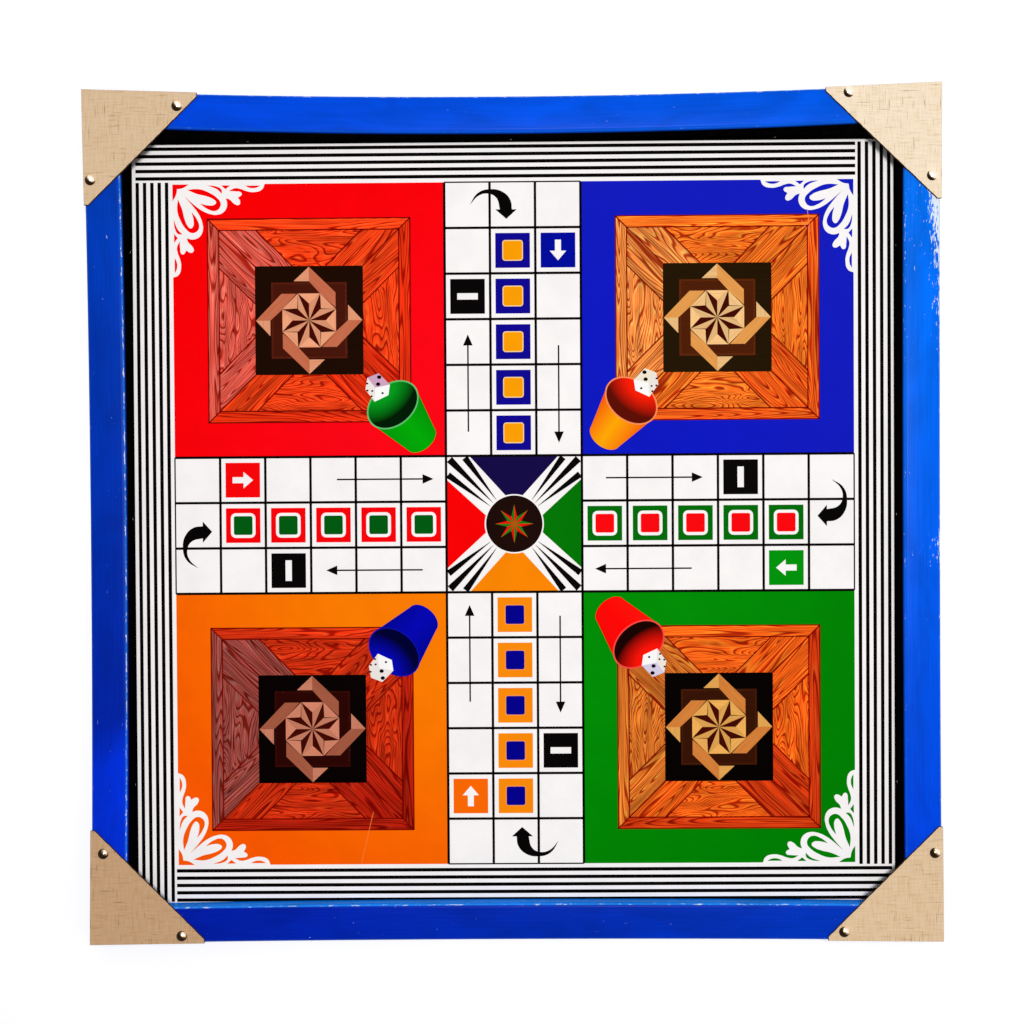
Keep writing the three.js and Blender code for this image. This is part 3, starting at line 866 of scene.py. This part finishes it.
# Pale dashes: chipped paint, and along the arrises also painted glints.
CHIPPED_BY_FLECKS, CHIPPED_AT_EDGE, CHIP_AND_GLINT_AT_ARRIS = 0.06, 0.24, 0.2
SMOOTH_ANGLE = 40
TINY = 1e-6
# Painted light: the bottom rail's inner wall is painted a lighter blue where light falls on it.
INNER_WALL_PAINTED_LIGHT = {"bottom": "#0a86ff"}


def brushed_enamel():
    """Blue gloss enamel brushed along timber: long brush marks, uneven depth and painted light in its tone,
    and on the arrises pale wear with a painted highlight.
    """
    material, tree, shader = start_material("blue_gloss_enamel", roughness=0.26, specular=0.03)
    place = put(tree, "UVMap", uv_map="rail")
    # This attribute carries the paint's tone together with painted light.
    coat_and_light = put(tree, "Attribute", attribute_name="coat_and_light")
    # This attribute carries arris wear with its painted highlight, and the flecks.
    wear_and_highlight = put(tree, "SeparateXYZ", [put(tree, "Attribute", attribute_name="wear_and_highlight")]).outputs
    broad = put(tree, "Mapping", {"Vector": place, "Scale": repeats(COAT_PATCH)})
    patch = put(tree, "TexNoise", {"Vector": broad, "Scale": 1, "Detail": 3, "Distortion": 0.8})
    depth = put(tree, "MapRange", [patch, 0.3, 0.7, 0.84, 1.15])
    toned = put(tree, "VectorMath", {0: coat_and_light, "Scale": depth}, operation="SCALE")
    narrow = put(tree, "Mapping", {"Vector": place, "Scale": repeats(BRUSH_MARK)})
    brush = put(tree, "TexNoise", {"Vector": narrow, "Scale": 1, "Detail": 2})
    streak = put(tree, "MapRange", [brush, 0.35, 0.65, 0.95, 1.04])
    painted = put(tree, "VectorMath", {0: toned, "Scale": streak}, operation="SCALE")
    girth = put(tree, "SeparateXYZ", [place]).outputs["Y"]
    edges = []
    for arris, amount, reach in ((0, wear_and_highlight["X"], ARRIS_BAND), (RAIL_WIDTH, wear_and_highlight["Y"], ARRIS_BAND),
                                 (0, wear_and_highlight["Z"], FLECK_BAND)):
        away = put(tree, "Math", [girth, arris], operation="SUBTRACT")
        distance = put(tree, "Math", [away], operation="ABSOLUTE")
        near = put(tree, "MapRange", [distance, 0, reach, 1, 0])
        edges.append(put(tree, "Math", [near, amount], operation="MULTIPLY"))
    arrises = put(tree, "Math", edges[:2], operation="ADD")
    # The arrises are mixed towards a lighter blue: a painted highlight along the edge.
    arris_highlight = put(tree, "Math", [arrises, ARRIS_HIGHLIGHT], operation="MULTIPLY", use_clamp=True)
    drawn = put(tree, "Mix", {0: arris_highlight, 6: painted, 7: linear("#3390ff")}, data_type="RGBA")
    small = put(tree, "Mapping", {"Vector": place, "Scale": repeats(CHIP)})
    # Pale dashes: chipped paint, and along the arrises also painted glints.
    chips_and_glints = put(tree, "TexNoise", {"Vector": small, "Scale": 1, "Detail": 4, "Roughness": 0.7})
    for cause, amount in ((wear_and_highlight["Z"], CHIPPED_BY_FLECKS), (edges[2], CHIPPED_AT_EDGE),
                          (arrises, CHIP_AND_GLINT_AT_ARRIS)):
        chips_and_glints = put(tree, "Math", [cause, amount, chips_and_glints], operation="MULTIPLY_ADD")
    # Mixes in the pale chips and the painted glints.
    worn_and_glinting = put(tree, "MapRange", [chips_and_glints, 0.7, 0.75])
    colour = put(tree, "Mix", {0: worn_and_glinting, 6: drawn, 7: linear("#e2eef8")}, data_type="RGBA")
    gloss = put(tree, "MapRange", [brush, 0.3, 0.7, 0.2, 0.36])
    relief = put(tree, "Bump", {"Height": brush, "Strength": 0.22, "Distance": 0.12 * MM})
    join(tree, shader, {"Base Color": colour, "Roughness": gloss, "Normal": relief})
    return material


def smooth(piece):
    """Shades a piece smooth, apart from its sharp edges."""
    piece.data.polygons.foreach_set("use_smooth", [True] * len(piece.data.polygons))
    piece.data.set_sharp_from_angle(angle=math.radians(SMOOTH_ANGLE))


def rail_bow(side):
    """How far a rail's middle has bowed in: the depth of its box beyond its own width."""
    low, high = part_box(f"{side}_rail")
    return min(high.x - low.x, high.y - low.y) - RAIL_WIDTH


def on_side(quarter, bow, along, inset, height):
    """A place on a side of the frame: -1 to 1 along it between its mitres, and inset from its outer face."""
    reach = HALF - inset - MITRE_GAP / math.sqrt(2)
    place = Vector((along * reach, inset - HALF + bow * (1 - along ** 2), height))
    return Matrix.Rotation(quarter * math.pi / 2, 3, "Z") @ place


def straight_rail():
    """A rail still straight and square-ended, along X from -HALF to HALF, with its arrises rounded."""
    mesh = bmesh.new()
    section = [(0, 0), (REBATE_INSET, 0), (REBATE_INSET, REBATE_HEIGHT), (RAIL_WIDTH, REBATE_HEIGHT),
               (RAIL_WIDTH, RAIL_TOP), (0, RAIL_TOP)]
    end = mesh.faces.new([mesh.verts.new((-HALF, inset, height)) for inset, height in section])
    for step in range(RAIL_STEPS):
        moved_on = pull(mesh, end, (2 * HALF / RAIL_STEPS, 0, 0))
        if step:
            bmesh.ops.delete(mesh, geom=[end], context="FACES_ONLY")
        end = moved_on
    for inset, arris in ((0, OUTER_ARRIS), (RAIL_WIDTH, INNER_ARRIS)):
        edges = [edge for edge in mesh.edges
                 if all(abs(vert.co.y - inset) < TINY and vert.co.z > RAIL_TOP - TINY for vert in edge.verts)]
        bmesh.ops.bevel(mesh, geom=edges, offset=arris, segments=ARRIS_SEGMENTS, profile=0.5,
                        affect="EDGES", material=-1, clamp_overlap=True)
    return mesh


def coat_and_light_at(stops, share):
    """The paint's tone with its painted light at a share of a rail's length, blended between its colour
    stops.
    """
    for (start, first), (end, last) in zip(stops, stops[1:]):
        if share <= end:
            part = (share - start) / (end - start)
            return [a + (b - a) * part for a, b in zip(linear(first), linear(last))]
    return linear(stops[-1][1])


enamel = brushed_enamel()
for quarter, side in enumerate(SIDES):
    bow = rail_bow(side)
    mesh = straight_rail()
    rail_map = mesh.loops.layers.uv.new("rail")
    coat_and_light = mesh.loops.layers.float_color.new("coat_and_light")
    wear_and_highlight = mesh.loops.layers.float_color.new("wear_and_highlight")
    for face in mesh.faces:
        for loop in face.loops:
            place = loop.vert.co
            fall = (RAIL_TOP - place.z) * (1 if place.y > RAIL_WIDTH / 2 else -1)
            loop[rail_map].uv = (place.x + quarter, place.y + fall)
            # The paint's tone along the rail, with its painted light.
            loop[coat_and_light] = coat_and_light_at(COAT_AND_LIGHT_STOPS[side], (place.x / HALF + 1) / 2)
            # Painted light on the bottom rail's inner wall.
            if side in INNER_WALL_PAINTED_LIGHT and face.calc_center_median().y > RAIL_WIDTH - INNER_ARRIS / 2:
                loop[coat_and_light] = linear(INNER_WALL_PAINTED_LIGHT[side])
            fleck = sum(amount * max(0, 1 - abs(place.x / HALF - middle) / reach)
                        for middle, reach, amount in FLECKS.get(side, []))
            loop[wear_and_highlight] = (*ARRIS_WEAR_AND_HIGHLIGHT[side], fleck, 1)
    for vert in mesh.verts:
        vert.co = on_side(quarter, bow, vert.co.x / HALF, vert.co.y, vert.co.z)
    rail = make_piece(mesh, f"{side}_rail_painted", "blue_enamel", enamel, replaced=[f"{side}_rail"])
    smooth(rail)


# Corner nails
# Two lost-head steel nails hold each mitre, one high and one low, each through one rail into the other.
# They are punched below the rails' outer faces and painted over.

for side in SIDES:
    dress(steel, f"corner_nail_{side}_1", f"corner_nail_{side}_2")


# Slips and their pins
# Thin black-painted strips stand inside the right, top and left rails, straight in front and scribed behind.
# Three small steel pins hold each one.

SLIP_SIDES = ["right", "top", "left"]
BRUSHED_BLACK = 6 * MM


def black_paint():
    """Matt black paint on a thin softwood strip: near black, uneven in gloss where the brush dragged."""
    material, tree, shader = start_material("black_paint_on_softwood", roughness=0.55, specular=0.0)
    place = put(tree, "TexCoord").outputs["Object"]
    drag = put(tree, "TexNoise", {"Vector": place, "Scale": 1 / BRUSHED_BLACK, "Detail": 4,
                                  "Roughness": 0.65})
    colour = put(tree, "ValToRGB", [drag], stops=[(0.35, "#010101"), (0.7, "#060404")])
    gloss = put(tree, "MapRange", [drag, 0, 1, 0.4, 0.75])
    join(tree, shader, {"Base Color": colour, "Roughness": gloss})
    return material


paint = black_paint()
for side in SLIP_SIDES:
    dress(paint, f"{side}_slip")
    dress(steel, *(f"slip_pin_{side}_{index}" for index in (1, 2, 3)))


# Corner plates
# Offcuts of linen-pattern laminate on a brown core, sawn to triangles and tacked over the mitres.
# Their long edge is a little ragged from the saw and shows the core.

PLATE_LEG = 82 * MM
PLATE_TIP = 3 * MM
PLATE_EASE = 0.25 * MM
EASE_SEGMENTS = 2
SAW_STEPS = 45
SAW_RAGGED = 0.14 * MM
THREAD = (14 * MM, 1.0 * MM)
SLUB = (17 * MM, 0.8 * MM)
THREAD_SHIFT = (3.7, 1.3)
CORE_FIBRE = 0.8 * MM
PLATE_CORNERS = {"bottom": "bottom_right", "right": "top_right", "top": "top_left", "left": "bottom_left"}
# Painted light: each plate's tint is lighter at the upper right and darker at the lower left.
PAINTED_LIGHT_TINTS = {"bottom_right": "#eadbc9", "top_right": "#fffdfa", "top_left": "#e5d6c5",
               "bottom_left": "#ceb49b"}


def linen_laminate():
    """Satin decorative laminate printed as linen: crossed threads and darker slubs, coarse enough to show,
    each plate tinted by its painted light.
    """
    material, tree, shader = start_material("linen_pattern_laminate", roughness=0.5, specular=0.15)
    place = put(tree, "TexCoord").outputs["Object"]
    layers = []
    for along_x in (True, False):
        for (length, width), low, high in ((THREAD, 0.3, 0.72), (SLUB, 0.62, 0.76)):
            stretch = repeats((length, width) if along_x else (width, length))
            shift = (THREAD_SHIFT[0] * width, THREAD_SHIFT[1], 0)
            laid = put(tree, "Mapping", {"Vector": place, "Scale": stretch, "Location": shift})
            strands = put(tree, "TexNoise", {"Vector": laid, "Scale": 1, "Detail": 2})
            layers.append(put(tree, "MapRange", [strands, low, high]))
    threads = put(tree, "Math", layers[0::2], operation="ADD")
    slubs = put(tree, "Math", layers[1::2], operation="MAXIMUM")
    evened = put(tree, "Math", [threads, 0.5], operation="MULTIPLY")
    weave = put(tree, "ValToRGB", [evened], stops=[(0.2, "#f9e9d2"), (0.5, "#f4e1c6"), (0.85, "#ead4b4")])
    woven = put(tree, "Mix", {0: slubs, 6: weave, 7: linear("#ad8a62")}, data_type="RGBA")
    # Each plate's tint, which is painted light and shade.
    tint = put(tree, "Attribute", attribute_name="tint")
    colour = put(tree, "Mix", {0: 1.0, 6: woven, 7: tint}, data_type="RGBA", blend_type="MULTIPLY")
    relief = put(tree, "Bump", {"Height": threads, "Strength": 0.2, "Distance": 0.05 * MM})
    join(tree, shader, {"Base Color": colour, "Normal": relief})
    return material


def fibre_core():
    """The sawn edge of the laminate's core: dark brown pressed fibre, matt and speckled; its darkest tones
    are partly painted shade along the plate's edge.
    """
    material, tree, shader = start_material("brown_fibre_core", roughness=0.85, specular=0.2)
    place = put(tree, "TexCoord").outputs["Object"]
    fibre = put(tree, "TexNoise", {"Vector": place, "Scale": 1 / CORE_FIBRE, "Detail": 3})
    colour = put(tree, "ValToRGB", [fibre], stops=[(0.35, "#1e100a"), (0.7, "#553520")])
    join(tree, shader, {"Base Color": colour})
    return material


linen, core = linen_laminate(), fibre_core()
reach = HALF - PLATE_LEG
for quarter, (side, corner) in enumerate(PLATE_CORNERS.items()):
    low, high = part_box(f"corner_plate_{corner}")
    side_edge = rail_bow(side) * (1 - (reach / HALF) ** 2) - HALF
    next_edge = HALF - rail_bow(SIDES[(quarter + 1) % 4]) * (1 - (reach / HALF) ** 2)
    outline = [(HALF, -HALF), (next_edge, -reach), (next_edge - PLATE_TIP, -reach),
               (reach, side_edge + PLATE_TIP), (reach, side_edge)]
    sawn_start, sawn_end = Vector(outline[2]), Vector(outline[3])
    slope = (sawn_end - sawn_start).normalized()
    across = Vector((slope.y, -slope.x))
    sawn = [sawn_start.lerp(sawn_end, step / SAW_STEPS) + across * rng.uniform(-SAW_RAGGED, SAW_RAGGED)
            for step in range(1, SAW_STEPS)]
    mesh = bmesh.new()
    rim = [*outline[:3], *sawn, *outline[3:]]
    pull(mesh, mesh.faces.new([mesh.verts.new((x, y, low.z)) for x, y in rim]), (0, 0, high.z - low.z))
    bmesh.ops.recalc_face_normals(mesh, faces=mesh.faces)
    tint = mesh.loops.layers.float_color.new("tint")
    for face in mesh.faces:
        face.material_index = 0 if face.normal.z > 0.5 else 1
        for loop in face.loops:
            # Each plate takes its painted-light tint.
            loop[tint] = linear(PAINTED_LIGHT_TINTS[corner])
    rims = [edge for edge in mesh.edges if all(vert.co.z > high.z - TINY for vert in edge.verts)]
    bmesh.ops.bevel(mesh, geom=rims, offset=PLATE_EASE, segments=EASE_SEGMENTS, profile=0.5,
                    affect="EDGES", material=-1, clamp_overlap=True)
    turn = Matrix.Rotation(quarter * math.pi / 2, 3, "Z")
    bmesh.ops.rotate(mesh, verts=mesh.verts, cent=(0, 0, 0), matrix=turn)
    make_piece(mesh, f"corner_plate_{corner}_linen", "linen_laminate", linen, core,
               replaced=[f"corner_plate_{corner}"])


# Plate tacks
# Eight dome-headed upholstery tacks, two to a plate: nickel-plated brass, the lower ones painted darker.
# Each dome carries a painted highlight on one side and painted shade on the other.
# Each is driven through its plate into the rail, with the dome's rim on the laminate.

DOME_HEIGHT = 2.6 * MM
SHANK = 1.0 * MM
DOME_STEPS, DOME_SIDES = 8, 32
DOME_WELD = 0.005 * MM
TARNISH = 2.2 * MM
TARNISH_CLOUD = 0.12
PAINTED_LIGHT_FADE = 0.26
# Painted light: the dome is painted lighter where it faces this way, and darker at the lower corners.
PAINTED_HIGHLIGHT_SIDE = (0.55, 0.55, 0.63)
PAINTED_SHADE_ENDS = {"top_right": 0.17, "top_left": 0.48, "bottom_right": 0.6, "bottom_left": 0.74}


def painted_light_nickel(name, end):
    """Nickel plate on brass: painted highlight on one side of the dome, painted shade on the other, tarnish
    clouds.
    """
    material, tree, shader = start_material(name, roughness=0.3, metallic=0.9)
    facing = put(tree, "NewGeometry").outputs["Normal"]
    toward_highlight = put(tree, "VectorMath", [facing, PAINTED_HIGHLIGHT_SIDE], operation="DOT_PRODUCT")
    place = put(tree, "TexCoord").outputs["Object"]
    cloud = put(tree, "TexNoise", {"Vector": place, "Scale": 1 / TARNISH, "Detail": 3})
    bright = put(tree, "Math", [cloud, TARNISH_CLOUD, toward_highlight], operation="MULTIPLY_ADD")
    # The ramp runs from painted shade to a painted highlight.
    stops = [(end, "#221409"), (end + PAINTED_LIGHT_FADE / 2, "#8c6f4a"), (end + PAINTED_LIGHT_FADE, "#fff3e0")]
    colour = put(tree, "ValToRGB", [bright], stops=stops)
    dull = put(tree, "MapRange", [cloud, 0.35, 0.7, 0.16, 0.4])
    join(tree, shader, {"Base Color": colour, "Roughness": dull})
    return material


nickels = {corner: painted_light_nickel(f"{corner}_nickel_painted_light", end) for corner, end in PAINTED_SHADE_ENDS.items()}
for side in SIDES:
    for index in (1, 2):
        node = f"plate_tack_{side}_{index}"
        low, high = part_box(node)
        middle = (low + high) / 2
        radius = (high.x - low.x) / 2
        seat = high.z - DOME_HEIGHT
        dome = arc(0, 0, radius, DOME_HEIGHT, 0, 90, DOME_STEPS)
        profile = [(0, low.z - seat), (SHANK, low.z - seat + 2 * SHANK), (SHANK, 0), *dome]
        mesh = bmesh.new()
        verts = [mesh.verts.new((max(across, 0), 0, height)) for across, height in profile]
        edges = [mesh.edges.new(pair) for pair in zip(verts, verts[1:])]
        bmesh.ops.spin(mesh, geom=verts + edges, cent=(0, 0, 0), axis=(0, 0, 1), angle=math.tau,
                       steps=DOME_SIDES, use_merge=True)
        bmesh.ops.remove_doubles(mesh, verts=mesh.verts, dist=DOME_WELD)
        bmesh.ops.translate(mesh, verts=mesh.verts, vec=(middle.x, middle.y, seat))
        corner = ("top_" if middle.y > 0 else "bottom_") + ("right" if middle.x > 0 else "left")
        tack = make_piece(mesh, f"{node}_dome", "tack_metal", nickels[corner], replaced=[node])
        smooth(tack)


# Floor, light and camera
# A plain pale floor under a soft even sky, with one softbox almost overhead, a little to the upper right.
# The camera looks almost straight down; a small shift keeps the board in the photograph's frame.

FLOOR_SIZE = 8.0
FLOOR_GREY = "#f2f2f2"
FLOOR_DROP = 0.2 * MM
FLOOR_LIFT = 0.22
SKY = "#ffffff"
SKY_STRENGTH = 0.28
SOFTBOX_SIZE, SOFTBOX_POWER = 0.5, 38.5
SOFTBOX_PLACE = Vector((0.22, 0.22, 2.3))
CAMERA_HEIGHT = 904.4 * MM
CAMERA_FOOT = -30.5 * MM
CAMERA_TURN = (math.radians(-0.7), math.radians(0.4), math.radians(-0.36))
CAMERA_LENS = 43.787
CAMERA_SHIFT = (0.0070, 0.0608)


def seen_directly(tree):
    """1 for rays that show the surface itself, also in gloss and glass, and 0 for its light on the board."""
    path = put(tree, "LightPath").outputs
    glossy = put(tree, "Math", [path["Is Camera Ray"], path["Is Glossy Ray"]], operation="MAXIMUM")
    return put(tree, "Math", [glossy, path["Is Transmission Ray"]], operation="MAXIMUM")


mesh = bmesh.new()
bmesh.ops.create_grid(mesh, x_segments=1, y_segments=1, size=FLOOR_SIZE / 2)
bmesh.ops.translate(mesh, verts=mesh.verts, vec=(0, 0, -FLOOR_DROP))
floor_data = bpy.data.meshes.new("floor")
mesh.to_mesh(floor_data)
mesh.free()
floor = bpy.data.objects.new("floor", floor_data)
bpy.context.collection.objects.link(floor)
floor_material, tree, shader = start_material("pale_floor", roughness=0.9, specular=0.1)
lift = put(tree, "Math", [seen_directly(tree), FLOOR_LIFT], operation="MULTIPLY")
join(tree, shader, {"Base Color": linear(FLOOR_GREY), "Emission Color": linear(SKY),
                    "Emission Strength": lift})
floor_data.materials.append(floor_material)

world = bpy.data.worlds.new("soft_sky")
world.use_nodes = True
tree = world.node_tree
strength = put(tree, "MapRange", [seen_directly(tree), 0, 1, SKY_STRENGTH, 1])
join(tree, tree.nodes["Background"], {"Color": linear(SKY), "Strength": strength})
bpy.context.scene.world = world

softbox = bpy.data.lights.new("softbox", "AREA")
softbox.shape = "SQUARE"
softbox.size = SOFTBOX_SIZE
softbox.energy = SOFTBOX_POWER
lamp = bpy.data.objects.new("softbox", softbox)
lamp.location = SOFTBOX_PLACE
lamp.rotation_euler = (-SOFTBOX_PLACE).to_track_quat("-Z", "Y").to_euler()
bpy.context.collection.objects.link(lamp)

lens = bpy.data.cameras.new("overhead")
lens.sensor_width = 36
lens.lens = CAMERA_LENS
lens.shift_x, lens.shift_y = CAMERA_SHIFT
camera = bpy.data.objects.new("overhead", lens)
camera.location = (0, CAMERA_FOOT, CAMERA_HEIGHT)
camera.rotation_euler = CAMERA_TURN
bpy.context.collection.objects.link(camera)
bpy.context.scene.camera = camera
bpy.context.scene.view_settings.view_transform = "Standard"
